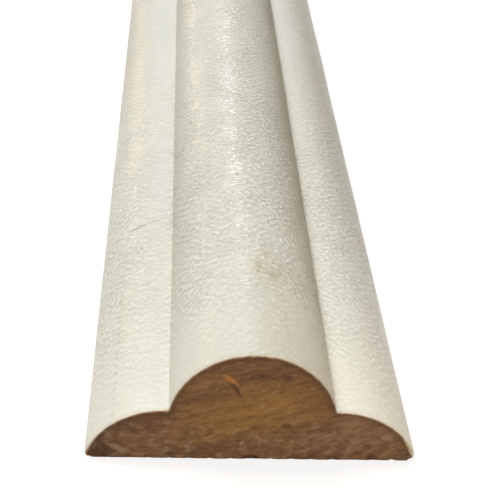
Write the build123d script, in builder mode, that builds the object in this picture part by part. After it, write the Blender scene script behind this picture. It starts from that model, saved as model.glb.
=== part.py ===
"""Wooden panel moulding: one straight length of machined strip, with a bead between two rounded wings.

The strip lies on its flat back. X is across the width, Y along the length and Z up from the back.
The origin is in the middle of the back. Sizes are in millimetres.
"""

import os

from build123d import *

# Overall size of the stock
length = 2400.0
width = 32.0
thickness = 12.0

# Section: the bead stands on a shoulder, and each wing rolls down from the shoulder to a thin lip
bead_width = 16.0
shoulder_height = 5.6
shoulder_flat = 0.4
lip_height = 0.6
back_arris_radius = 0.3

# Places on the right-hand half of the section
bead_foot = (bead_width / 2, shoulder_height)
bead_crown = (0, thickness)
wing_start = (bead_width / 2 + shoulder_flat, shoulder_height)
lip_top = (width / 2, lip_height)
back_corner = (width / 2, 0)

with BuildPart() as moulding_strip:
    with BuildSketch(Plane.XZ) as section:
        with BuildLine() as outline:
            # The back is flat from lip to lip
            Line((-back_corner[0], back_corner[1]), back_corner)
            # The bead is a single arc from foot to foot over the crown
            ThreePointArc((-bead_foot[0], bead_foot[1]), bead_crown, bead_foot)
            # One wing leaves its small flat level and drops round to the lip, and the other mirrors it
            flat = Line(bead_foot, wing_start)
            wing = TangentArc(wing_start, lip_top, tangent=flat % 1)
            lip = Line(lip_top, back_corner)
            mirror([flat, wing, lip], about=Plane.YZ)
        make_face()
        # The arrises where the lips meet the back are eased
        fillet(section.vertices().group_by(Axis.Y)[0], radius=back_arris_radius)
    extrude(amount=length / 2, both=True)

moulding_strip.part.label = "moulding_strip"

os.makedirs("parts", exist_ok=True)
export_step(moulding_strip.part, "parts/moulding_strip.step")
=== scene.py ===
# %% [markdown]
# # A length of primed panel moulding
#
# Panel moulding is a thin strip of wood, cut to a section by shaped knives, primed in the factory and
# sold in lengths. Mitred round a panel, it makes a frame on a flat wall. This lesson dresses one length
# of it: a bead between two rounded wings, off-white primer on its face, and bare sawn wood where it was
# cut off.
#
# The strip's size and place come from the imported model, which is loaded first and never changed.

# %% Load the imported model
import math

import bmesh
import bpy
from mathutils import Matrix, Vector, noise
from mathutils.kdtree import KDTree


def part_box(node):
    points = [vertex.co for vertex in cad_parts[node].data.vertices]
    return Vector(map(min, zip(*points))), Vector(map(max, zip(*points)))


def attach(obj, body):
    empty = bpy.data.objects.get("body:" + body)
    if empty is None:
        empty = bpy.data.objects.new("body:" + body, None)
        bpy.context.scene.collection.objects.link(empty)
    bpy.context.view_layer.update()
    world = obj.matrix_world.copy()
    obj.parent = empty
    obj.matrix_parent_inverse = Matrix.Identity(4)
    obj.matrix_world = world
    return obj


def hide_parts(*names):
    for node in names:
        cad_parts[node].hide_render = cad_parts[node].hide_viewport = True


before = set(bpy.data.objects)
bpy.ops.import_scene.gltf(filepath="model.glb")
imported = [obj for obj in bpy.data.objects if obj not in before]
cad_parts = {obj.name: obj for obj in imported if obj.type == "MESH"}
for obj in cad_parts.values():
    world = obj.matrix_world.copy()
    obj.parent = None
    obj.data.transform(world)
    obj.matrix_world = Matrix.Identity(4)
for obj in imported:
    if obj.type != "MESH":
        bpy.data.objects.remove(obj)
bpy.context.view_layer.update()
MM = 0.001
tiny = 0.001 * MM
low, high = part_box("moulding_strip")
near_y = low.y
far_y = high.y
width = high.x - low.x
thickness = high.z
length = far_y - near_y
print(f"Strip: {width / MM:.1f} x {thickness / MM:.1f} mm, {length:.2f} m long")

# %% [markdown]
# ## Camera
#
# The camera stands close over the cut end and looks along the strip, so the long lines run together
# quickly. It stands a little left of the middle, is turned a little to the right, and leans over a few
# degrees.

# %% Camera
camera_left = 8.0 * MM
camera_back = 102.2 * MM
camera_height = 81.0 * MM
turned_right = math.radians(3.85)
tipped_down = math.radians(29.43)
leaning = math.radians(3.05)

camera = bpy.data.objects.new("camera", bpy.data.cameras.new("camera"))
bpy.context.scene.collection.objects.link(camera)
camera.location = (-camera_left, near_y - camera_back, camera_height)
turn = Matrix.Rotation(-turned_right, 3, "Z") @ Matrix.Rotation(math.pi / 2 - tipped_down, 3, "X")
camera.rotation_euler = (turn @ Matrix.Rotation(leaning, 3, "Z")).to_euler()
camera.data.sensor_width = 36.0
camera.data.lens = 96.2
camera.data.clip_start = 0.01
camera.data.clip_end = 100.0
bpy.context.scene.camera = camera
print(f"Camera: {camera_back / MM:.0f} mm before the cut end and {camera_height / MM:.0f} mm up")

# %% [markdown]
# ## The section
#
# The knives that cut such a strip are ground to arcs, so its section is drawn as arcs too. The bead is
# one arc from foot to foot. Each wing leaves a small flat beside the bead level, and rolls down to a thin
# lip. The radius of each arc follows from where it starts and ends.
#
# One half is drawn by spinning a single vertex from arc to arc, and the other half is its mirror image.

# %% Sizes of the section
bead_half = 8.0 * MM
shoulder_height = 5.6 * MM
shoulder_flat = 0.4 * MM
lip_height = 0.6 * MM
arris_radius = 0.3 * MM

bead_rise = thickness - shoulder_height
bead_radius = (bead_half**2 + bead_rise**2) / (2 * bead_rise)
bead_centre = thickness - bead_radius
bead_angle = math.asin(bead_half / bead_radius)
wing_start = bead_half + shoulder_flat
wing_run = width / 2 - wing_start
wing_drop = shoulder_height - lip_height
wing_radius = (wing_run**2 + wing_drop**2) / (2 * wing_drop)
wing_centre = shoulder_height - wing_radius
wing_angle = math.asin(wing_run / wing_radius)
print(f"Bead radius {bead_radius / MM:.2f} mm, wing radius {wing_radius / MM:.2f} mm")


# %% Draw half the section and mirror it
def arc(bm, vert, centre_x, centre_z, angle, steps):
    """Spins a vertex about a point of the section, which leaves an arc, and returns its far end."""
    made = bmesh.ops.spin(
        bm,
        geom=[vert],
        cent=(centre_x, near_y, centre_z),
        axis=(0, 1, 0),
        angle=angle,
        steps=steps,
        use_merge=False,
        use_duplicate=False,
    )
    return next(g for g in made["geom_last"] if isinstance(g, bmesh.types.BMVert))


def straight(bm, vert, move_x, move_z, steps):
    """Draws a vertex out in even steps, which leaves a straight run, and returns its far end."""
    for _ in range(steps):
        vert = bmesh.ops.extrude_vert_indiv(bm, verts=[vert])["verts"][0]
        bmesh.ops.translate(bm, verts=[vert], vec=(move_x / steps, 0, move_z / steps))
    return vert


def draw_section(bm):
    """Draws the closed outline of the section at the near end."""
    crown = bm.verts.new((0, near_y, thickness))
    foot = arc(bm, crown, 0, bead_centre, bead_angle, steps=42)
    shoulder = straight(bm, foot, shoulder_flat, 0, steps=2)
    lip = arc(bm, shoulder, wing_start, wing_centre, wing_angle, steps=36)
    lip_foot = straight(bm, lip, 0, arris_radius - lip_height, steps=1)
    arris_x = width / 2 - arris_radius
    back_corner = arc(bm, lip_foot, arris_x, arris_radius, math.pi / 2, steps=4)
    straight(bm, back_corner, -arris_x, 0, steps=8)
    half = bm.verts[:] + bm.edges[:]
    bmesh.ops.mirror(bm, geom=half, axis="X", merge_dist=tiny)
    bmesh.ops.remove_doubles(bm, verts=bm.verts[:], dist=tiny)


bm = bmesh.new()
draw_section(bm)
print(f"Section: {len(bm.verts)} points round the outline")

# %% [markdown]
# ## The blank
#
# The outline is filled and drawn out along the strip twice: a short near stretch, which is seen close up
# and gets a ring about every millimetre, and the long rest, which is straight and needs few. Primer
# collects in the two creases beside the bead, so they get a small round instead of a knife-sharp corner.

# %% Draw the section out along the strip
near_stretch = 0.120
near_rings = 110
rest_rows = 6
rings_in_row = 16
rest_rings = rest_rows * rings_in_row
crease_round = 0.16 * MM


def along_y(edge):
    """Tells whether an edge runs along the strip."""
    run = edge.verts[1].co - edge.verts[0].co
    return abs(run.y) > 0.5 * run.length


def draw_out(bm, face, distance):
    """Extrudes a face along the strip, and returns the moved face."""
    made = bmesh.ops.extrude_face_region(bm, geom=[face, *face.edges])["geom"]
    moved = [g for g in made if isinstance(g, bmesh.types.BMVert)]
    bmesh.ops.translate(bm, verts=moved, vec=(0, distance, 0))
    return next(g for g in made if isinstance(g, bmesh.types.BMFace))


def round_creases(bm):
    """Rounds the two long inside corners at the feet of the bead."""
    creases = []
    for edge in bm.edges:
        middle = (edge.verts[0].co + edge.verts[1].co) / 2
        at_foot = abs(abs(middle.x) - bead_half) < 10 * tiny and middle.z > lip_height
        if along_y(edge) and at_foot:
            creases.append(edge)
    bmesh.ops.bevel(
        bm, geom=creases, offset=crease_round, segments=3, profile=0.5, affect="EDGES", material=-1
    )
    return len(creases)


near_face = bmesh.ops.contextual_create(bm, geom=bm.edges[:])["faces"][0]
middle_face = draw_out(bm, near_face, near_stretch)
draw_out(bm, middle_face, length - near_stretch)
bmesh.ops.recalc_face_normals(bm, faces=bm.faces[:])
rounded = round_creases(bm)
runs = [e for e in bm.edges if along_y(e)]
near_runs = [e for e in runs if e.calc_length() < 2 * near_stretch]
rest_runs = [e for e in runs if e.calc_length() > 2 * near_stretch]
bmesh.ops.subdivide_edges(bm, edges=near_runs, cuts=near_rings - 1, use_grid_fill=True)
bmesh.ops.subdivide_edges(bm, edges=rest_runs, cuts=rest_rings - 1, use_grid_fill=True)
print(f"Blank: {len(bm.faces)} faces, {rounded} crease edges rounded")

# %% [markdown]
# ## The sawn ends
#
# A saw leaves a rough face: it drags fibres out, leaves faint scratches and breaks splinters from the
# edge. To hold such relief, the flat end is cut into small cells by two sets of parallel planes, as on
# graph paper. A few closely spaced rings just behind it let its edge wear round. The relief is pressed in
# later, and only goes inwards, because the strip mustn't grow.

# %% Cut the ends into cells
near_cell = 0.22 * MM
far_cell = 0.9 * MM
edge_rings = (0.08 * MM, 0.2 * MM, 0.42 * MM)
snap = 0.02 * MM
# The finishes' numbers on the strip. The primer's is 0, which every face starts with
SAWN, PLANED = 1, 2


def at_end(vert, end_y):
    """Tells whether a vertex lies in the plane of the end at end_y."""
    return abs(vert.co.y - end_y) < tiny


def cut(bm, geom, place, facing):
    """Cuts the geometry given with a plane, and returns all of it."""
    return bmesh.ops.bisect_plane(bm, geom=geom, dist=snap, plane_co=place, plane_no=facing)["geom"]


def edge_loops(bm, end_y, inward):
    """Adds rings just behind an end."""
    two_rings = 2 * length / rest_rings
    for depth in edge_rings:
        faces = [f for f in bm.faces if all(abs(v.co.y - end_y) < two_rings for v in f.verts)]
        geom = list(dict.fromkeys(g for f in faces for g in (f, *f.edges, *f.verts)))
        cut(bm, geom, (0, end_y + inward * depth, 0), (0, 1, 0))


def graph_paper(bm, end_y, cell):
    """Cuts an end into square cells, and returns their number."""
    columns = round(width / cell)
    rows = round(thickness / cell)
    cuts = [((low.x + (i + 0.5) * width / columns, end_y, 0), (1, 0, 0)) for i in range(columns)]
    cuts += [((0, end_y, (i + 0.5) * thickness / rows), (0, 0, 1)) for i in range(rows)]
    end = [f for f in bm.faces if all(at_end(v, end_y) for v in f.verts)]
    end = [g for f in end for g in (f, *f.edges, *f.verts)]
    for place, facing in cuts:
        end = cut(bm, end, place, facing)
    return sum(isinstance(g, bmesh.types.BMFace) for g in end)


edge_loops(bm, near_y, 1)
edge_loops(bm, far_y, -1)
near_cells = graph_paper(bm, near_y, near_cell)
far_cells = graph_paper(bm, far_y, far_cell)
print(f"Ends: {near_cells} cells near, {far_cells} cells far, {len(bm.faces)} faces in all")

# %% [markdown]
# ## Wear and relief
#
# Marks that a viewer can name, such as the slit under the crown and the torn spots, are listed once with
# their real places, and both the relief and the colours use the list. The rest of the relief is noise:
# long fibres that follow the year rings, and fine fuzz. The year rings cross the section as wide arcs
# about the heart of the tree, which lay well above this strip.
#
# The corner round each end has worn, so its ring and the rings behind it are drawn in a little, more at
# the crown, the two tips and the low corner on the right. The cells near the outline go with it, or they
# would fold.

# %% Marks on the near end
# Sizes here are in mm, and ring_reach is about how far the strip lies from the heart
heart = (-14.0, 60.0)
ring_reach = 52.0
end_marks = {
    "slit": {"at": (-1.75, 8.1), "half": (0.95, 0.17), "turn": -56, "deep": 0.30},
    "torn crown": {"at": (0.5, 9.5), "half": (0.85, 0.32), "turn": 4, "deep": 0.14},
    "torn crown right": {"at": (3.0, 9.5), "half": (0.5, 0.34), "turn": -10, "deep": 0.14},
    "pit right": {"at": (3.2, 3.95), "half": (0.42, 0.3), "turn": 20, "deep": 0.16},
    "pit middle": {"at": (0.1, 3.7), "half": (0.35, 0.2), "turn": 20, "deep": 0.10},
    "pit low": {"at": (8.8, 1.4), "half": (0.5, 0.3), "turn": 25, "deep": 0.14},
    "pit far right": {"at": (11.1, 1.6), "half": (0.4, 0.25), "turn": 20, "deep": 0.12},
    "bruised tip": {"at": (-14.3, 0.9), "half": (0.9, 0.6), "turn": 30, "deep": 0.16},
    "bottom notch": {"at": (0.1, 0.1), "half": (0.75, 0.28), "turn": 0, "deep": 0.20},
}
print(f"{len(end_marks)} marks on the near end")


# %% Where a point lies on the end
def across_mark(mark, x, z):
    """Distance of a point from a mark's middle, in half sizes of the mark."""
    turn = math.radians(mark["turn"])
    dx = x - mark["at"][0]
    dz = z - mark["at"][1]
    along = (dx * math.cos(turn) + dz * math.sin(turn)) / mark["half"][0]
    beside = (dz * math.cos(turn) - dx * math.sin(turn)) / mark["half"][1]
    return math.hypot(along, beside)


def ease(value, start, stop):
    """Goes smoothly from 0 at start to 1 at stop."""
    share = min(max((value - start) / (stop - start), 0.0), 1.0)
    return share * share * (3 - 2 * share)


def hollow(x, z):
    """Depth of the saw's relief at a point of an end, in mm."""
    ring = math.hypot(x - heart[0], z - heart[1])
    round_heart = math.atan2(x - heart[0], heart[1] - z) * ring_reach
    fibres = noise.noise((ring / 0.45, round_heart / 3.2, 0))
    splits = noise.noise((ring / 1.1, round_heart / 5.0, 7))
    fuzz = noise.noise((x / 0.35, z / 0.35, 3))
    depth = 0.06 + 0.045 * fibres + 0.04 * splits + 0.03 * fuzz
    return max(depth, 0.0)


def marked(x, z):
    """Depth of the named marks at a point of the near end, in mm."""
    uneven = 0.25 * noise.noise((x / 0.3, z / 0.3, 11))
    depths = []
    for mark in end_marks.values():
        inside = 1 - ease(across_mark(mark, x, z) + uneven, 0.5, 1.15)
        depths.append(mark["deep"] * inside)
    return max(depths)


def worn(x, z):
    """How far the outline of an end has worn in, in mm."""
    crumbs = 0.5 + 0.5 * noise.noise((x / 0.5, z / 0.5, 5))
    crown = 0.10 * (1 - ease(abs(x), 1.2, 2.6)) * (z > 6)
    tips = (0.60 if x > 0 else 0.26) * ease(abs(x), 14.4, 16.0)
    low_corner = 0.22 * ease(x, 13.2, 13.8) * (z < 1) * crumbs
    return 0.04 + 0.13 * crumbs + crown * crumbs + tips + low_corner


print(f"Relief at the middle of the end: {hollow(0, 6):.2f} mm")


# %% Wear the ends
wear_share = dict(zip((0.0, *edge_rings), (1.0, 0.5, 0.2, 0.06)))
drawn_in = 0.5 * MM
full_relief = 0.3 * MM
sliver = 0.035 * MM


def weld_slivers(bm, end_y):
    """Merges points that lie almost on an end's outline, and returns its outline and inner points."""
    end = [v for v in bm.verts if at_end(v, end_y)]
    outline = [v for v in end if any(not at_end(e.other_vert(v), end_y) for e in v.link_edges)]
    doubles = bmesh.ops.find_doubles(bm, verts=end, keep_verts=outline, dist=sliver)
    bmesh.ops.weld_verts(bm, targetmap=doubles["targetmap"])
    kept = set(outline)
    return outline, [v for v in bm.verts if at_end(v, end_y) and v not in kept]


def inward_normal(vert):
    """The direction into the wood across the strip."""
    flat = Vector((-vert.normal.x, 0, -vert.normal.z))
    return flat.normalized()


def wear_end(bm, end_y, inward, marks):
    """Draws in the rings round an end, and presses its relief in."""
    outline, inner = weld_slivers(bm, end_y)
    bm.normal_update()
    tree = KDTree(len(outline))
    for index, vert in enumerate(outline):
        tree.insert(vert.co, index)
    tree.balance()
    nearest = {v: tree.find(v.co) for v in inner}
    pull = {}
    for depth, share in wear_share.items():
        ring = outline if depth == 0 else [v for v in bm.verts if at_end(v, end_y + inward * depth)]
        for vert in ring:
            amount = share * worn(vert.co.x / MM, vert.co.z / MM) * MM
            pull[vert] = inward_normal(vert) * amount
    for vert, (_, index, distance) in nearest.items():
        reach = max(1 - distance / drawn_in, 0)
        pull[vert] = pull[outline[index]] * reach * reach
        x, z = vert.co.x / MM, vert.co.z / MM
        depth = hollow(x, z) + (marked(x, z) if marks else 0)
        pull[vert] += Vector((0, inward * depth * ease(distance, 0, full_relief) * MM, 0))
        vert[rim] = distance / MM
    for vert, move in pull.items():
        vert.co += move
    return len(inner)


rim = bm.verts.layers.float.new("rim")
for face in bm.faces:
    face.smooth = True
    if all(at_end(v, near_y) for v in face.verts) or all(at_end(v, far_y) for v in face.verts):
        face.material_index = SAWN
    elif all(v.co.z < tiny for v in face.verts):
        face.material_index = PLANED
near_points = wear_end(bm, near_y, 1, True)
far_points = wear_end(bm, far_y, -1, False)
print(f"Relief pressed into {near_points} points near and {far_points} far")

# %% [markdown]
# ## A strip that isn't perfect
#
# The cutter block doesn't leave a perfect prism: the face is very slightly wavy. Each point of the face
# moves in by up to a twentieth of a millimetre, and stops at the back, which stays flat, because the
# strip lies on it.

# %% Make the face slightly wavy
most_wave = 0.05 * MM
clear_of_end = 0.1 * MM
bm.normal_update()
moves = {}
for vert in bm.verts:
    on_face = vert.normal.z > -0.5 and vert.co.z > tiny
    if on_face and min(vert.co.y - near_y, far_y - vert.co.y) > clear_of_end:
        at = vert.co / MM
        wave = 0.5 + noise.noise((at.x / 5, at.y / 16, at.z / 5))
        moves[vert] = inward_normal(vert) * most_wave * min(max(wave, 0), 1)
for vert, move in moves.items():
    vert.co += move
    vert.co.z = max(vert.co.z, 0)

corner = math.radians(38)
for edge in bm.edges:
    inside_end = all(f.material_index == SAWN for f in edge.link_faces)
    edge.smooth = inside_end or edge.calc_face_angle(0.0) < corner
print(f"{len(moves)} points moved, {sum(not e.smooth for e in bm.edges)} edges kept sharp")

# %% [markdown]
# ## A flat map of the strip
#
# The finishes can be baked into square pictures through this map. A strip 75 times as long as it is wide
# would waste most of a square, so the map's areas are given one by one: the near stretch and the near end
# get most of it, and the long rest is cut into rows, one above the other. Across the strip, the map
# follows the outline, so the steep sides of the bead aren't squeezed.

# %% Lay out the map
map_size = 1024
near_face_area = (2, 2, 1020, 358)
near_end_area = (2, 364, 320, 120)
far_end_area = (326, 364, 160, 60)
near_back_area = (490, 364, 532, 120)
row_area = (2, 490, 1020, 58)
back_row_area = (2, 864, 1020, 22)
row_step = 62
back_row_step = 26
row_length = (length - near_stretch) / rest_rows
bead_run = bead_radius * bead_angle
half_run = bead_run + shoulder_flat + wing_radius * wing_angle + lip_height


def outline_run(place):
    """How far a point of the face lies from the crown along the outline, less than 0 on the left."""
    x = abs(place.x)
    if x < bead_half and place.z > shoulder_height:
        run = bead_radius * math.atan2(x, place.z - bead_centre)
    elif x < wing_start:
        run = bead_run + x - bead_half
    elif place.z > lip_height:
        run = bead_run + shoulder_flat + wing_radius * math.atan2(x - wing_start, place.z - wing_centre)
    else:
        run = half_run - place.z
    return math.copysign(min(run, half_run), place.x)


def on_map(area, across_share, up_share, step=0):
    """Turns shares of a map area into a place on the map."""
    left, bottom, area_width, area_height = area
    across_share = min(max(across_share, 0.0), 1.0)
    up_share = min(max(up_share, 0.0), 1.0)
    column = left + across_share * area_width
    row = bottom + step + up_share * area_height
    return (column / map_size, row / map_size)


def lay_out(face, layer):
    """Puts a face on the map."""
    past = face.calc_center_median().y - near_y - near_stretch
    row = min(int(past / row_length), rest_rows - 1)
    for loop in face.loops:
        place = loop.vert.co
        x_share = (place.x - low.x) / width
        run_share = (outline_run(place) + half_run) / (2 * half_run)
        if past < 0:
            y_share = (place.y - near_y) / near_stretch
        else:
            y_share = (place.y - near_y - near_stretch) / row_length - row
        if face.material_index == SAWN:
            area = near_end_area if past < 0 else far_end_area
            spot_on_map = on_map(area, x_share, place.z / thickness)
        elif face.material_index == PLANED:
            area, step = (near_back_area, 0) if past < 0 else (back_row_area, row * back_row_step)
            spot_on_map = on_map(area, y_share, x_share, step)
        else:
            area, step = (near_face_area, 0) if past < 0 else (row_area, row * row_step)
            spot_on_map = on_map(area, y_share, run_share, step)
        loop[layer].uv = spot_on_map


map_layer = bm.loops.layers.uv.new("OFBake")
for face in bm.faces:
    lay_out(face, map_layer)
near_detail = near_face_area[2] * MM / near_stretch
rest_detail = row_area[2] * MM / row_length
print(f"Map: {near_detail:.1f} pixels a mm near, {rest_detail:.1f} further on")

# %% Make the strip's object
mesh = bpy.data.meshes.new("primed_strip")
bm.to_mesh(mesh)
bm.free()
strip = bpy.data.objects.new("primed_strip", mesh)
bpy.context.scene.collection.objects.link(strip)
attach(strip, "root")
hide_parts("moulding_strip")
print(f"Strip: {sum(len(p.vertices) - 2 for p in mesh.polygons)} triangles")

# %% [markdown]
# ## Tools for materials
#
# Every finish here is worked out from where a point is on the strip, in millimetres from the middle of
# the back at the near end, so the patterns have real sizes. The helpers below add a node, join it up and
# return what it puts out. That keeps each recipe short enough to read.

# %% Helpers for shader nodes
def put(tree, socket, value):
    """Gives a socket a value, or links another node's output to it."""
    if isinstance(value, bpy.types.NodeSocket):
        tree.links.new(value, socket)
    else:
        socket.default_value = value


def calc(tree, operation, *values):
    """Adds a Math node and returns its result."""
    made = tree.nodes.new("ShaderNodeMath")
    made.operation = operation
    for socket, value in zip(made.inputs, values):
        put(tree, socket, value)
    return made.outputs["Value"]


def times(tree, *values):
    """Multiplies values together."""
    product = values[0]
    for value in values[1:]:
        product = calc(tree, "MULTIPLY", product, value)
    return product


def vector_calc(tree, operation, *values):
    """Adds a Vector Math node and returns its result."""
    made = tree.nodes.new("ShaderNodeVectorMath")
    made.operation = operation
    for socket, value in zip(made.inputs, values):
        put(tree, socket, value)
    return made.outputs["Value" if operation == "LENGTH" else "Vector"]


def graded(tree, value, start, stop, low_value=0.0, high_value=1.0):
    """Goes smoothly from low_value, where the value is start, to high_value, where it is stop."""
    made = tree.nodes.new("ShaderNodeMapRange")
    made.interpolation_type = "SMOOTHSTEP"
    names = ("Value", "From Min", "From Max", "To Min", "To Max")
    for name, number in zip(names, (value, start, stop, low_value, high_value)):
        put(tree, made.inputs[name], number)
    return made.outputs["Result"]


def blend(tree, share, first, second):
    """Mixes two colours. A Mix node has sockets for each kind of data, so these go by number."""
    share_at, first_at, second_at, mixed_at = 0, 6, 7, 2
    made = tree.nodes.new("ShaderNodeMix")
    made.data_type = "RGBA"
    made.clamp_factor = True
    put(tree, made.inputs[share_at], share)
    put(tree, made.inputs[first_at], first)
    put(tree, made.inputs[second_at], second)
    return made.outputs[mixed_at]


def cloud(tree, place, pitch, detail=2.0, roughness=0.5, distortion=0.0):
    """Adds noise whose lumps measure about pitch, in mm along X, Y and Z."""
    made = tree.nodes.new("ShaderNodeTexNoise")
    made.inputs["Scale"].default_value = 1.0
    put(tree, made.inputs["Detail"], detail)
    put(tree, made.inputs["Roughness"], roughness)
    put(tree, made.inputs["Distortion"], distortion)
    put(tree, made.inputs["Vector"], vector_calc(tree, "DIVIDE", place, pitch))
    return made.outputs["Fac"]


def ripples(tree, flat_place, pitch, patch, straightness):
    """Adds rows of ripples that march along the strip, pitch mm apart, in patches about patch mm wide."""
    # Two of the node's sockets are called Orientation, and the flat kind's is number 4
    direction_at = 4
    made = tree.nodes.new("ShaderNodeTexGabor")
    made.gabor_type = "2D"
    put(tree, made.inputs["Vector"], flat_place)
    made.inputs["Scale"].default_value = 1 / patch
    made.inputs["Frequency"].default_value = patch / pitch
    made.inputs["Anisotropy"].default_value = straightness
    made.inputs[direction_at].default_value = math.pi / 2
    return made.outputs["Value"]


def parts(tree, vector):
    """Splits a vector into X, Y and Z."""
    made = tree.nodes.new("ShaderNodeSeparateXYZ")
    put(tree, made.inputs[0], vector)
    return made.outputs


def joined(tree, x, y, z):
    """Joins X, Y and Z into a vector."""
    made = tree.nodes.new("ShaderNodeCombineXYZ")
    for socket, value in zip(made.inputs, (x, y, z)):
        put(tree, socket, value)
    return made.outputs[0]


def colour(red, green, blue):
    """Turns a colour as a paint chart gives it, 0 to 255, into Blender's linear values."""
    linear = [((c / 255 + 0.055) / 1.055) ** 2.4 for c in (red, green, blue)]
    return (*linear, 1.0)


# %% [markdown]
# Effects that more than one finish needs are node groups, made once: a soft-edged spot with a place and a
# size, the figure of the wood, which runs through the whole strip, and the worn edge round a sawn end.

# %% Start and finish a node group
def start_group(name, inputs, outputs):
    """Makes an empty node group, and returns its tree and the sockets to read from and put out to."""
    tree = bpy.data.node_groups.new(name, "ShaderNodeTree")
    for socket, kind, value in inputs:
        made = tree.interface.new_socket(name=socket, in_out="INPUT", socket_type=kind)
        made.default_value = value
    for socket in outputs:
        tree.interface.new_socket(name=socket, in_out="OUTPUT", socket_type="NodeSocketFloat")
    return tree, tree.nodes.new("NodeGroupInput").outputs, tree.nodes.new("NodeGroupOutput").inputs


def use_group(tree, group, **values):
    """Places a node group in a material and returns its outputs."""
    made = tree.nodes.new("ShaderNodeGroup")
    made.node_tree = group
    for name, value in values.items():
        put(tree, made.inputs[name.replace("_", " ")], value)
    return made.outputs


# %% Group: a soft spot
VECTOR, FLOAT = "NodeSocketVector", "NodeSocketFloat"
spot, given, result = start_group(
    "Soft Spot",
    [
        ("Place", VECTOR, (0, 0, 0)),
        ("Middle", VECTOR, (0, 0, 0)),
        ("Half Size", VECTOR, (1, 1, 1)),
        ("Turn", FLOAT, 0.0),
        ("Softness", FLOAT, 0.5),
    ],
    ["Mask"],
)
from_spot = vector_calc(spot, "SUBTRACT", given["Place"], given["Middle"])
turned = spot.nodes.new("ShaderNodeVectorRotate")
turned.rotation_type = "Y_AXIS"
put(spot, turned.inputs["Vector"], from_spot)
put(spot, turned.inputs["Angle"], given["Turn"])
in_halves = vector_calc(spot, "DIVIDE", turned.outputs[0], given["Half Size"])
apart = vector_calc(spot, "LENGTH", in_halves)
ragged = calc(spot, "MULTIPLY_ADD", cloud(spot, given["Place"], (0.45, 0.45, 0.45)), 0.9, -0.45)
apart = calc(spot, "ADD", apart, ragged)
inner_edge = calc(spot, "SUBTRACT", 1.0, given["Softness"])
outer_edge = calc(spot, "ADD", 1.0, given["Softness"])
put(spot, result["Mask"], graded(spot, apart, inner_edge, outer_edge, 1.0, 0.0))
print("Group:", spot.name)

# %% Group: the figure of the wood
figure, given, result = start_group(
    "Wood Figure", [("Place", VECTOR, (0, 0, 0))], ["Streaks", "Flecks", "Fibres", "Blotches"]
)
bent = cloud(figure, given["Place"], (9.0, 90.0, 9.0), detail=1.0)
x, y, z = parts(figure, given["Place"])
from_heart = vector_calc(figure, "SUBTRACT", joined(figure, x, 0.0, z), (heart[0], 0.0, heart[1]))
ring = calc(figure, "MULTIPLY_ADD", bent, 2.4, vector_calc(figure, "LENGTH", from_heart))
side_x, _, side_z = parts(figure, from_heart)
turn = calc(figure, "ARCTAN2", side_x, calc(figure, "MULTIPLY", side_z, -1.0))
round_heart = calc(figure, "MULTIPLY", turn, ring_reach)
on_rings = joined(figure, ring, y, round_heart)
put(figure, result["Streaks"], cloud(figure, on_rings, (0.8, 160.0, 6.0), detail=3.0, roughness=0.6))
put(figure, result["Flecks"], cloud(figure, on_rings, (0.33, 30.0, 1.2), detail=3.0, roughness=0.6))
put(figure, result["Fibres"], cloud(figure, on_rings, (0.24, 30.0, 1.0), detail=2.0, roughness=0.6))
blotches = cloud(figure, given["Place"], (1.1, 40.0, 0.8), detail=2.0, distortion=0.4)
put(figure, result["Blotches"], blotches)
print("Group:", figure.name)

# %% Group: the edge round a sawn end
edge_group, given, result = start_group(
    "Sawn Edge", [("Place", VECTOR, (0, 0, 0)), ("Reach", FLOAT, 0.2)], ["Mask"]
)
_, y, _ = parts(edge_group, given["Place"])
from_end = calc(edge_group, "MINIMUM", y, calc(edge_group, "SUBTRACT", length / MM, y))
crumbs = cloud(edge_group, given["Place"], (0.5, 0.5, 0.5), detail=3.0, roughness=0.65)
torn = calc(edge_group, "MULTIPLY_ADD", calc(edge_group, "SUBTRACT", crumbs, 0.5), 1.6, 0.75)
reach = calc(edge_group, "MULTIPLY", calc(edge_group, "MULTIPLY", given["Reach"], torn), 2.0)
put(edge_group, result["Mask"], graded(edge_group, from_end, 0.0, reach, 1.0, 0.0))
print("Group:", edge_group.name)


# %% Start a material
def start_material(name):
    """Makes a material, and returns it, its tree, its main shader and the place on the strip in mm."""
    made = bpy.data.materials.new(name)
    made.use_nodes = True
    tree = made.node_tree
    shader = tree.nodes["Principled BSDF"]
    where = tree.nodes.new("ShaderNodeTexCoord").outputs["Object"]
    in_mm = vector_calc(tree, "MULTIPLY", where, (1 / MM, 1 / MM, 1 / MM))
    return made, tree, shader, vector_calc(tree, "SUBTRACT", in_mm, (0.0, near_y / MM, 0.0))


def bump(tree, height, depth):
    """Turns a height from 0 to 1 into a normal, for relief that is depth deep."""
    made = tree.nodes.new("ShaderNodeBump")
    put(tree, made.inputs["Height"], height)
    made.inputs["Strength"].default_value = 1.0
    made.inputs["Distance"].default_value = depth
    return made.outputs["Normal"]


# %% [markdown]
# ## Primer
#
# Factory primer is a thin, off-white, slightly satin coat. The knife marks and the raised grain under it
# show as fine wavy ripples across the strip, about a millimetre apart. They start, wander and die out in
# small patches, and a finer noise breaks them up. They are laid on the face as if it were unrolled:
# across the strip, a share of the fall from the crown is added to the distance from the middle.
#
# The ripples come and go along the strip. They are a little deeper on the bead than on the wings, and
# most on the bead's flanks, a little way in. Near the saw cut they are worn, more so on the left, because
# hands have rubbed the primer there, and further on they grow weaker, more so on the right.

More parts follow.
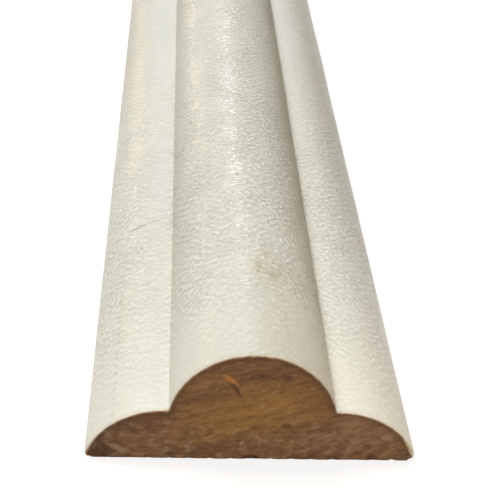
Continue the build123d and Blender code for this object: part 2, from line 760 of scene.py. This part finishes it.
# %% Primer: ripples
primer, tree, shader, place = start_material("Satin primer")
across, along, up = parts(tree, place)
from_middle = calc(tree, "ABSOLUTE", across)
fall_share = 0.6
fall = times(tree, calc(tree, "SUBTRACT", thickness / MM, up), fall_share)
unrolled = calc(tree, "MULTIPLY_ADD", calc(tree, "SIGN", across), fall, across)
wander = times(tree, cloud(tree, place, (3.0, 2.6, 3.0), detail=2.0), 1.5)
laid_flat = joined(tree, unrolled, calc(tree, "ADD", along, wander), 0.0)
waves = ripples(tree, laid_flat, pitch=0.95, patch=1.8, straightness=0.42)
pits = cloud(tree, place, (0.5, 0.4, 0.5), detail=2.0, roughness=0.6)
crests = graded(tree, calc(tree, "MULTIPLY_ADD", pits, 0.65, waves), 0.70, 1.14)
worn_near = graded(tree, along, 1.0, 22.0, graded(tree, across, 1.0, 6.0, 0.26, 0.42), 1.0)
weaker_on = graded(tree, along, 54.0, 92.0, 1.0, graded(tree, across, 1.0, 6.0, 0.82, 0.56))
patchy = graded(tree, cloud(tree, place, (4.0, 7.0, 4.0), detail=1.0), 0.35, 0.65, 0.78, 1.18)
deeper = graded(tree, from_middle, 8.3, 7.5, 1.0, 1.35)
little_way_in = times(tree, graded(tree, along, 20.0, 34.0), graded(tree, along, 68.0, 50.0))
on_flanks = times(tree, graded(tree, from_middle, 3.0, 5.5), little_way_in)
deeper_flanks = calc(tree, "MULTIPLY_ADD", on_flanks, 0.25, 1.0)
strength = times(tree, worn_near, weaker_on, patchy, deeper, deeper_flanks)
height = calc(tree, "MULTIPLY_ADD", crests, 0.8, times(tree, pits, 0.5))
ripple_depth = 0.12
put(tree, shader.inputs["Normal"], bump(tree, times(tree, height, strength), ripple_depth * MM))
print("Primer ripples are", ripple_depth, "mm deep")

# %% [markdown]
# The primer is whitest on the crests of the ripples, greyer between them and darkest in the pits. This is
# partly the primer's own mottle and partly painted highlight on the crests and painted shade between them
# and in the pits, which give the ripples more relief. A dull knife left faint lines along the right half
# of the crown.
#
# A yellow-brown tint is painted on the sides of the bead as painted shade, most on the right, and on the
# outer part of the right wing, with a grey one on the left side of the bead. Further on, a little of the
# yellow-brown on the left wing stands for warm painted light. It grows over the first 100 mm and thins out
# beyond. The crown is painted greyer near the cut, as painted shade, and the flats beside the bead are
# painted lighter and cooler, as painted light.

# %% Primer: colour
off_white = colour(226, 224, 214)
ground = colour(196, 192, 178)
crest_white = colour(240, 240, 234)
grime_and_shade = colour(160, 153, 136)
slow = cloud(tree, place, (9.0, 26.0, 9.0), detail=2.0)
tone = blend(tree, graded(tree, slow, 0.4, 0.65), off_white, colour(226, 222, 209))
# Greyer ground, whiter crests and darker pits: partly the primer's own mottle, partly painted shade and
# painted highlight
tone = blend(tree, times(tree, graded(tree, crests, 0.4, 0.0, 0.0, 0.5), strength), tone, ground)
tone = blend(tree, times(tree, crests, 0.5, strength), tone, crest_white)
tone = blend(tree, times(tree, graded(tree, pits, 0.36, 0.24, 0.0, 0.5), strength), tone, grime_and_shade)
lines = cloud(tree, place, (0.3, 18.0, 0.3), detail=1.0)
right_of_crown = graded(tree, calc(tree, "ABSOLUTE", calc(tree, "SUBTRACT", across, 3.0)), 2.6, 1.0)
tone = blend(tree, times(tree, graded(tree, lines, 0.45, 0.75), right_of_crown, 0.12), tone, grime_and_shade)
print("Primer colour mixed")

# %% Primer: painted shade and warm light
painted_light_tint = colour(146, 127, 66)
fade_further_on = graded(tree, along, 140.0, 420.0, 1.0, 0.3)
on_bead = times(tree, graded(tree, up, 5.62, 5.95), graded(tree, from_middle, 8.4, 7.9))
right_half = graded(tree, across, -0.5, 0.5)
left_half = calc(tree, "SUBTRACT", 1.0, right_half)
on_right = times(tree, on_bead, right_half, graded(tree, up, 11.9, 8.2))
on_left = times(tree, on_bead, left_half, graded(tree, up, 10.4, 6.4))
on_wing = graded(tree, across, 10.5, 14.5)
left_wing = graded(tree, across, -11.0, -13.6)
# Painted shade on the sides of the bead and the outer right wing, and warm painted light on the outer left
# wing
painted_shading = [
    (on_right, (0.0, 90.0, 0.38, 0.65), painted_light_tint),
    (on_left, (4.0, 40.0, 0.10, 0.20), grime_and_shade),
    (on_wing, (5.0, 95.0, 0.06, 0.52), painted_light_tint),
    (left_wing, (70.0, 105.0, 0.0, 0.09), painted_light_tint),
]
for where, ramp_along, tint in painted_shading:
    tone = blend(tree, times(tree, where, fade_further_on, graded(tree, along, *ramp_along)), tone, tint)
# Painted shade: the crown is greyer near the cut, more towards the right
painted_shade_near_cut = times(tree, graded(tree, along, 0.0, 26.0, 0.33, 0.0), graded(tree, up, 7.5, 11.6))
painted_shade_near_cut = times(tree, painted_shade_near_cut, graded(tree, across, -4.5, -0.5, 0.35, 1.0))
tone = blend(tree, painted_shade_near_cut, tone, grime_and_shade)
# Painted light: the flats beside the bead are lighter and cooler, more further on
painted_light_beside_bead = times(tree, graded(tree, from_middle, 8.2, 8.5), graded(tree, from_middle, 13.6, 9.0))
painted_light_beside_bead = times(tree, painted_light_beside_bead, graded(tree, along, 6.0, 45.0, 0.06, 0.25))
tone = blend(tree, painted_light_beside_bead, tone, colour(233, 234, 238))
print("Dust laid on", len(painted_shading), "parts of the primer")

# %% [markdown]
# Small marks make the strip that one strip: a yellow-brown stain with darker specks on the bead, close to
# the cut, a dark hairline across the left wing, two specks, and a dotted line where a knife edge was
# nicked.

# %% Primer: marks
stain = colour(168, 140, 84)
speck = colour(96, 82, 62)
mid_height = 6.0
any_height = 30.0
primer_marks = {
    "stain": ((1.9, 16.5), (2.0, 3.2), stain, 0.12, 0.8),
    "stain left": ((0.95, 16.6), (0.40, 1.0), stain, 0.42, 0.7),
    "stain left heart": ((0.9, 15.6), (0.2, 0.36), colour(134, 104, 54), 0.35, 0.6),
    "stain right": ((2.45, 15.3), (0.5, 0.65), stain, 0.38, 0.7),
    "stain above": ((1.9, 20.0), (0.7, 1.1), stain, 0.16, 0.7),
    "stain below": ((2.9, 11.3), (0.5, 0.8), stain, 0.12, 0.7),
    "hairline left": ((-12.45, 37.35), (0.5, 0.17), speck, 0.8, 0.4),
    "hairline right": ((-11.65, 37.6), (0.55, 0.15), speck, 0.7, 0.4),
    "hairline trace": ((-10.2, 38.0), (0.7, 0.13), speck, 0.3, 0.4),
    "speck on bead": ((-0.5, 38.0), (0.2, 0.35), speck, 0.45, 0.4),
    "speck on wing": ((9.1, 47.5), (0.2, 0.4), speck, 0.35, 0.4),
}
for middle, half, tint, share, softness in primer_marks.values():
    mask = use_group(
        tree,
        spot,
        Place=place,
        Middle=(*middle, mid_height),
        Half_Size=(*half, any_height),
        Softness=softness,
    )["Mask"]
    tone = blend(tree, times(tree, mask, share), tone, tint)
nicks = cloud(tree, joined(tree, 0.0, along, 0.0), (1.0, 0.9, 1.0), detail=2.0)
nicked = times(tree, graded(tree, nicks, 0.45, 0.7), graded(tree, along, 34.0, 24.0))
on_line = graded(tree, calc(tree, "ABSOLUTE", calc(tree, "ADD", across, 13.35)), 0.32, 0.08)
tone = blend(tree, times(tree, nicked, on_line, 0.45), tone, grime_and_shade)
print(f"{len(primer_marks)} marks on the primer")

# %% [markdown]
# The primer is satin, but it is duller where it was rubbed near the cut, beside the bead, where dust
# gathers, and on the outer left wing further on. A fine noise frays the borders of these zones, so that
# no line shows there. The saw broke the primer away along the very edge, and left it a little scorched
# behind that.

# %% Primer: sheen and worn edge
worn_wood = colour(140, 104, 72)
scorched = colour(196, 178, 148)
chipped = use_group(tree, edge_group, Place=place, Reach=0.16)["Mask"]
browned = use_group(tree, edge_group, Place=place, Reach=0.55)["Mask"]
tone = blend(tree, times(tree, browned, 0.5), tone, scorched)
tone = blend(tree, chipped, tone, worn_wood)
put(tree, shader.inputs["Base Color"], tone)
frayed = cloud(tree, place, (0.8, 1.1, 0.8), detail=3.0, roughness=0.6)
drift = calc(tree, "MULTIPLY_ADD", frayed, 6.0, -3.0)
from_crease = calc(tree, "ABSOLUTE", calc(tree, "SUBTRACT", from_middle, 8.8))
dull_beside = graded(tree, calc(tree, "ADD", from_crease, drift), 4.0, 0.2, 0.24, 0.55)
frayed_along = calc(tree, "MULTIPLY_ADD", drift, 4.0, along)
dull_near = graded(tree, frayed_along, 2.0, 20.0, 0.38, 0.24)
dull_on = times(tree, left_wing, fade_further_on, graded(tree, frayed_along, 50.0, 100.0, 0.0, 0.16))
satin = calc(tree, "ADD", calc(tree, "MAXIMUM", dull_beside, dull_near), dull_on)
put(tree, shader.inputs["Roughness"], graded(tree, chipped, 0.0, 1.0, satin, 0.8))
shader.inputs["Specular IOR Level"].default_value = 0.22
print("Primer: sheen and worn edge mixed")

# %% [markdown]
# ## Sawn end grain
#
# The strip was cut from a warm brown board. On the end, the year rings show as soft streaks that rise to
# the right, golden in the middle and darker and redder under the crown and along the outline, where dirt
# and primer soaked in. The low half is torn and blotchy. The streaks come from the wood's figure, the
# zones from soft spots, and the dark margin from the distance to the outline, which the mesh carries as
# an attribute.

# %% Sawn end: streaks and zones
sawn, tree, shader, place = start_material("Sawn end grain")
wood = use_group(tree, figure, Place=place)
across, _, up = parts(tree, place)
zone_depth = 3.0


def zone(middle, half, turn, softness):
    """A soft spot on the near end: middle and half sizes across and up in mm, and its turn in degrees."""
    return use_group(
        tree,
        spot,
        Place=place,
        Middle=(middle[0], 0.0, middle[1]),
        Half_Size=(half[0], zone_depth, half[1]),
        Turn=math.radians(turn),
        Softness=softness,
    )["Mask"]


deep_brown = colour(104, 71, 43)
mid_brown = colour(129, 93, 56)
golden = colour(148, 109, 54)
rosy = colour(131, 93, 66)
dusty = colour(152, 126, 98)
umber = colour(82, 55, 38)
streaks = graded(tree, wood["Streaks"], 0.34, 0.66)
tone = blend(tree, streaks, deep_brown, mid_brown)
gold_share = calc(tree, "MULTIPLY_ADD", streaks, 0.35, 0.4)
end_zones = [
    (zone((0.3, 5.8), (6.6, 1.9), 14, 0.7), gold_share, golden),
    (zone((5.0, 5.6), (1.9, 1.3), 0, 0.7), times(tree, gold_share, 0.2), golden),
    (zone((-1.5, 3.7), (5.0, 0.9), 10, 0.8), times(tree, gold_share, 0.9), golden),
    (zone((-9.5, 2.7), (4.2, 1.7), 10, 0.6), 0.5, rosy),
    (zone((10.5, 3.2), (4.8, 2.3), 18, 0.5), 0.5, rosy),
    (zone((0.0, 1.1), (9.0, 1.0), 0, 0.5), 0.2, rosy),
    (zone((5.6, 7.4), (2.0, 1.6), 0, 0.7), 0.35, deep_brown),
    (zone((-10.2, 4.0), (2.6, 0.9), 22, 0.6), 0.45, umber),
    (graded(tree, up, 8.6, 10.8), 0.35, colour(92, 64, 40)),
    (graded(tree, across, -11.0, -14.5), 0.5, colour(70, 46, 34)),
    (zone((11.0, 2.8), (5.0, 2.4), 20, 0.5), times(tree, streaks, 0.35), dusty),
]
for where, share, tint in end_zones:
    tone = blend(tree, times(tree, where, share), tone, tint)
print(len(end_zones), "zones mixed on the sawn end")

# %% Sawn end: blotches and fibres
low_half = graded(tree, up, 5.2, 3.0)
dark_blotches = graded(tree, wood["Blotches"], 0.5, 0.33)
pale_blotches = graded(tree, wood["Blotches"], 0.52, 0.7)
tone = blend(tree, times(tree, dark_blotches, low_half, 0.48), tone, umber)
tone = blend(tree, times(tree, pale_blotches, low_half, 0.55), tone, dusty)
grit = cloud(tree, place, (0.6, 0.6, 0.5), detail=3.0, roughness=0.6)
mottle = calc(tree, "MULTIPLY_ADD", grit, 0.34, times(tree, wood["Flecks"], 0.66))
tone = blend(tree, graded(tree, mottle, 0.49, 0.34, 0.0, 0.66), tone, umber)
tone = blend(tree, graded(tree, mottle, 0.52, 0.68, 0.0, 0.5), tone, dusty)
tone = blend(tree, graded(tree, wood["Fibres"], 0.55, 0.8, 0.0, 0.25), tone, dusty)
tone = blend(tree, graded(tree, wood["Fibres"], 0.45, 0.22, 0.0, 0.32), tone, umber)
print("Blotches and fibres mixed on the sawn end")

# %% Sawn end: margin, marks and sliver
margin = tree.nodes.new("ShaderNodeAttribute")
margin.attribute_name = "rim"
uneven = cloud(tree, place, (1.2, 1.2, 0.9), detail=2.0)
from_rim = calc(tree, "MULTIPLY_ADD", calc(tree, "SUBTRACT", uneven, 0.5), 1.2, margin.outputs["Fac"])
tone = blend(tree, graded(tree, from_rim, 0.0, 1.0, 0.6, 0.0), tone, colour(66, 42, 28))
tone = blend(tree, graded(tree, margin.outputs["Fac"], 0.05, 0.24, 0.45, 0.0), tone, colour(150, 128, 100))
# Each named mark is a hollow, painted darker over a spot a little larger than itself: painted shade in the
# hollow
shadow = 1.15
splinter = colour(164, 134, 102)
for mark in end_marks.values():
    mask = zone(mark["at"], (mark["half"][0] * shadow, mark["half"][1] * shadow), mark["turn"], 0.45)
    tone = blend(tree, times(tree, mask, 0.5), tone, colour(66, 40, 30))
pale_marks = {
    "sliver": (zone((-2.25, 9.2), (0.8, 0.24), -39, 0.6), 0.7, colour(184, 120, 62)),
    "bruise": (zone((-12.7, 1.15), (1.1, 0.28), -24, 0.6), 0.6, colour(156, 134, 106)),
    "splinter": (zone((-0.9, 1.9), (0.28, 0.16), 30, 0.5), 0.6, splinter),
    "splinter right": (zone((0.6, 2.5), (0.4, 0.14), -50, 0.5), 0.45, splinter),
}
for mask, share, tint in pale_marks.values():
    tone = blend(tree, times(tree, mask, share), tone, tint)
put(tree, shader.inputs["Base Color"], tone)
fuzz = cloud(tree, place, (0.22, 0.22, 0.22), detail=3.0, roughness=0.65)
rough_height = calc(tree, "MULTIPLY_ADD", wood["Fibres"], 0.6, fuzz)
put(tree, shader.inputs["Normal"], bump(tree, rough_height, 0.06 * MM))
put(tree, shader.inputs["Roughness"], graded(tree, wood["Fibres"], 0.3, 0.7, 0.78, 0.92))
shader.inputs["Specular IOR Level"].default_value = 0.3
print("Sawn end: margin and", len(end_marks) + len(pale_marks), "marks mixed")

# %% [markdown]
# ## Planed back
#
# The back isn't seen in the photo. Strips like this are primed on the face and edges only, so the back is
# bare planed wood, with the same figure running lengthwise, a little primer that crept round the edges,
# and shallow marks across it from the planer's knives.

# %% Planed back
planed, tree, shader, place = start_material("Planed bare wood")
wood = use_group(tree, figure, Place=place)
across, along, _ = parts(tree, place)
tone = blend(tree, graded(tree, wood["Streaks"], 0.32, 0.68), colour(150, 112, 76), colour(190, 152, 110))
tone = blend(tree, graded(tree, wood["Fibres"], 0.5, 0.2, 0.0, 0.35), tone, colour(116, 84, 56))
slow = cloud(tree, place, (14.0, 220.0, 14.0), detail=2.0)
tone = blend(tree, graded(tree, slow, 0.45, 0.7, 0.0, 0.4), tone, colour(204, 170, 128))
crept = cloud(tree, place, (1.6, 7.0, 1.6), detail=3.0, roughness=0.6)
from_middle = calc(tree, "ABSOLUTE", across)
creep_edge = calc(tree, "MULTIPLY_ADD", crept, -3.0, 17.2)
creep = graded(tree, calc(tree, "SUBTRACT", from_middle, creep_edge), -0.15, 0.25)
tone = blend(tree, creep, tone, colour(224, 220, 206))
soiled = use_group(tree, edge_group, Place=place, Reach=0.6)["Mask"]
tone = blend(tree, soiled, tone, colour(104, 74, 50))
put(tree, shader.inputs["Base Color"], tone)
knife_step = 1.6
knife = calc(tree, "SINE", calc(tree, "MULTIPLY", along, 2 * math.pi / knife_step))
grain_height = calc(tree, "MULTIPLY_ADD", knife, 0.12, wood["Fibres"])
put(tree, shader.inputs["Normal"], bump(tree, grain_height, 0.03 * MM))
put(tree, shader.inputs["Roughness"], graded(tree, creep, 0.0, 1.0, 0.72, 0.5))
shader.inputs["Specular IOR Level"].default_value = 0.3
print("Planed back mixed, with knife marks", knife_step, "mm apart")

# %% Put the finishes on the strip
for finish in (primer, sawn, planed):
    strip.data.materials.append(finish)
print(len(strip.data.materials), "finishes on the strip")

# %% [markdown]
# ## The stage
#
# A large pale floor lies just under the strip. The camera sees it as white, but to the lamps it is only a
# middle tone, so it throws little light back up at the sides. From below it is clear, so the back can be
# looked at too. The world round it looks white as well, but it lights nothing, so all the light comes
# from the lamps.

# %% Floor
floor_half = 30.0
floor_gap = 0.02 * MM
bm = bmesh.new()
bmesh.ops.create_grid(bm, x_segments=1, y_segments=1, size=floor_half)
bmesh.ops.translate(bm, verts=bm.verts, vec=(0, 0, -floor_gap))
mesh = bpy.data.meshes.new("floor")
bm.to_mesh(mesh)
bm.free()
floor = bpy.data.objects.new("floor", mesh)
bpy.context.scene.collection.objects.link(floor)
print(f"Floor: {2 * floor_half:.0f} m square, {floor_gap / MM:.2f} mm under the strip")


# %% Floor paint
def looked_at(tree, rays):
    """1 for a ray that the camera sends out, straight or by way of gloss or glass, and 0 for others."""
    seen = calc(tree, "MAXIMUM", rays["Is Camera Ray"], rays["Is Glossy Ray"])
    return calc(tree, "MAXIMUM", seen, rays["Is Transmission Ray"])


floor_paint = bpy.data.materials.new("Pale floor")
floor_paint.use_nodes = True
tree = floor_paint.node_tree
shader = tree.nodes["Principled BSDF"]
shader.inputs["Base Color"].default_value = (0.40, 0.36, 0.32, 1.0)
shader.inputs["Roughness"].default_value = 0.9
shader.inputs["Specular IOR Level"].default_value = 0.0
rays = tree.nodes.new("ShaderNodeLightPath").outputs
shader.inputs["Emission Color"].default_value = (0.72, 0.745, 0.77, 1.0)
put(tree, shader.inputs["Emission Strength"], looked_at(tree, rays))
clear = tree.nodes.new("ShaderNodeBsdfTransparent")
from_below = tree.nodes.new("ShaderNodeNewGeometry").outputs["Backfacing"]
either = tree.nodes.new("ShaderNodeMixShader")
share_of_clear = calc(tree, "MAXIMUM", from_below, rays["Is Shadow Ray"])
for socket, value in zip(either.inputs, (share_of_clear, shader.outputs["BSDF"], clear.outputs["BSDF"])):
    put(tree, socket, value)
put(tree, tree.nodes["Material Output"].inputs["Surface"], either.outputs["Shader"])
floor.data.materials.append(floor_paint)
print("Floor painted, clear from below")

# %% World
world = bpy.data.worlds.new("Studio")
bpy.context.scene.world = world
world.use_nodes = True
tree = world.node_tree
background = tree.nodes["Background"]
background.inputs["Color"].default_value = (1.0, 1.0, 1.0, 1.0)
put(tree, background.inputs["Strength"], looked_at(tree, tree.nodes.new("ShaderNodeLightPath").outputs))
print("World:", world.name)

# %% [markdown]
# A broad key light stands high on the left. The primer's sheen comes from three lights low down ahead of
# the camera: a cool one that catches the ripples along the crown, a wide one like a window, and a small
# warm one on the left. The cut end has three small fill lights of its own. A long light on the right and
# one under the floor keep the rest of the strip and its back clear in other views.

# %% Lamps
def soft_sun(name, towards, strength, spread, tint):
    """Hangs a wide, far-off light that shines from a direction."""
    lamp = bpy.data.lights.new(name, "SUN")
    lamp.energy = strength
    lamp.angle = math.radians(spread)
    lamp.color = tint
    made = bpy.data.objects.new(name, lamp)
    made.rotation_euler = Vector(towards).to_track_quat("Z", "Y").to_euler()
    bpy.context.scene.collection.objects.link(made)


def soft_box(name, place, watts, size, tint, aim=(0.0, 0.0, 0.0), spread=180):
    """Sets up a square light. Its place and its aim are given in metres from the near end."""
    lamp = bpy.data.lights.new(name, "AREA")
    lamp.energy = watts
    lamp.size = size
    lamp.color = tint
    lamp.spread = math.radians(spread)
    made = bpy.data.objects.new(name, lamp)
    made.location = (place[0], near_y + place[1], place[2])
    made.visible_camera = False
    made.rotation_euler = (Vector(place) - Vector(aim)).to_track_quat("Z", "Y").to_euler()
    bpy.context.scene.collection.objects.link(made)


soft_sun("key", (-0.354, 0.354, 0.866), 2.42, 35, (1.0, 0.995, 0.93))
soft_sun("cool sheen", (-0.045, 0.898, 0.438), 0.48, 8, (0.94, 0.97, 1.0))
soft_sun("window", (-0.243, 0.908, 0.342), 0.10, 20, (0.84, 0.88, 1.0))
soft_sun("warm sheen", (-0.375, 0.92, 0.09), 0.15, 4, (1.0, 0.79, 0.54))
soft_sun("under light", (0.2, 0.2, -0.96), 1.8, 40, (1.0, 1.0, 1.0))
soft_box("front fill", (0.0, -0.28, 0.12), 0.42, 0.12, (0.96, 0.97, 0.965))
soft_box("right fill", (0.07, -0.06, 0.06), 0.042, 0.04, (1.0, 0.86, 0.70))
soft_box("left fill", (-0.12, -0.05, 0.04), 0.017, 0.05, (0.98, 1.0, 0.98))
soft_box("long fill", (1.2, 1.4, 0.8), 2.4, 1.5, (1.0, 0.98, 0.94), aim=(0.0, 1.4, 0.0), spread=70)
bpy.context.scene.view_settings.view_transform = "Standard"
print(len(bpy.data.lights), "lamps")
